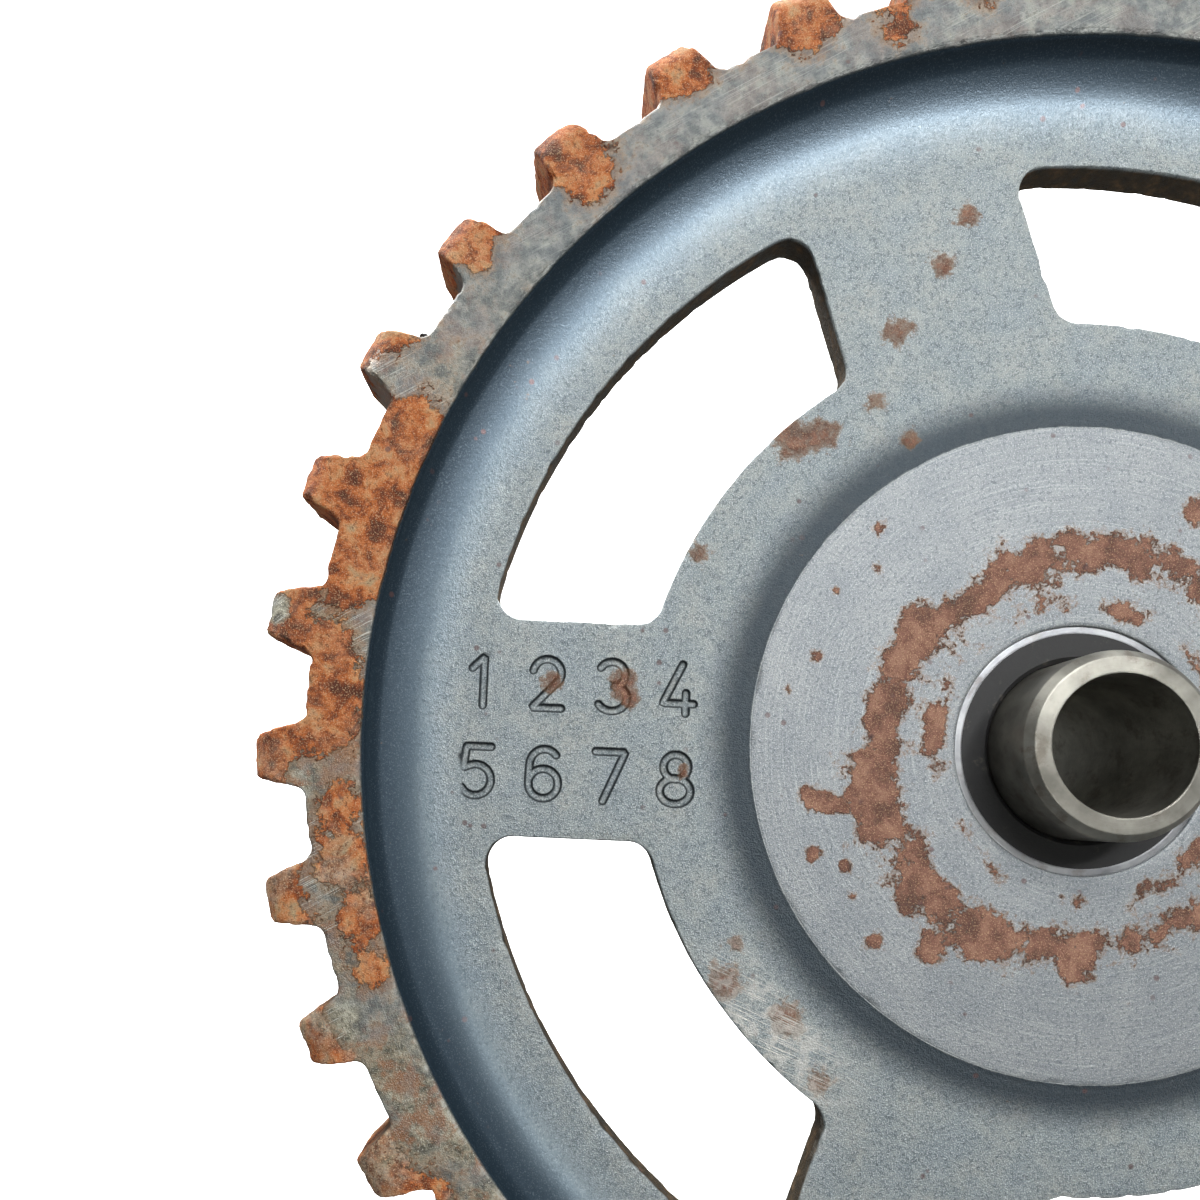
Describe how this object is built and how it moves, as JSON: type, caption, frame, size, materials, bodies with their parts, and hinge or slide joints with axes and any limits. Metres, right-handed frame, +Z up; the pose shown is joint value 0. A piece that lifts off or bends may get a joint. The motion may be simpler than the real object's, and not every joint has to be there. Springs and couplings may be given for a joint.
{
  "type": "rear sprocket",
  "caption": "Spoked chain sprocket with short flat-bottomed teeth on a bearing-carried hub with driving dogs and an axle sleeve.",
  "frame": {"origin": "on the axle's axis at the chain line, the middle of the tooth width", "axes": "+Y along the axle from the outside face towards the wheel, +Z up, +X to the right as the outside face is seen"},
  "size_m": [0.1838, 0.043, 0.1838],
  "materials": {
    "sprocket_steel": "worn and rusted bare steel",
    "hub_casting": "cast, dull",
    "screw_steel": "black oxide, worn",
    "bearing_steel": "ground",
    "sheet_steel": "pressed",
    "sleeve_steel": "turned, zinc plated, dulled",
    "spring_steel": "phosphated",
    "seal_rubber": "matt"
  },
  "bodies": {
    "axle": {"axle_sleeve": "sleeve_steel", "bearing_inner_ring": "bearing_steel", "sleeve_circlip": "spring_steel"},
    "sprocket": {"sprocket_disc": "sprocket_steel", "driver_hub": "hub_casting", "carrier_screws": "screw_steel", "carrier_lock_washers": "spring_steel", "dowel_pins": "bearing_steel", "bearing_outer_ring": "bearing_steel", "bearing_shield_front": "sheet_steel", "bearing_shield_rear": "sheet_steel", "bearing_circlip": "spring_steel", "seal_case": "sheet_steel", "seal_lip": "seal_rubber", "seal_spring": "spring_steel", "hub_o_ring": "seal_rubber"},
    "cage": {"bearing_balls": "bearing_steel", "bearing_cage_front": "sheet_steel", "bearing_cage_rear": "sheet_steel", "bearing_cage_rivets": "sheet_steel"}
  },
  "joints": [
    {"name": "sprocket_spin", "type": "hinge", "parent": "axle", "child": "sprocket", "pos_m": [0, 0, 0], "axis": [0, 1, 0], "continuous": true},
    {"name": "cage_spin", "type": "hinge", "parent": "axle", "child": "cage", "pos_m": [0, 0.016, 0], "axis": [0, 1, 0], "continuous": true}
  ],
  "couplings": [
    {"joint": "cage_spin", "follows": "sprocket_spin", "ratio": 0.6164}
  ]
}
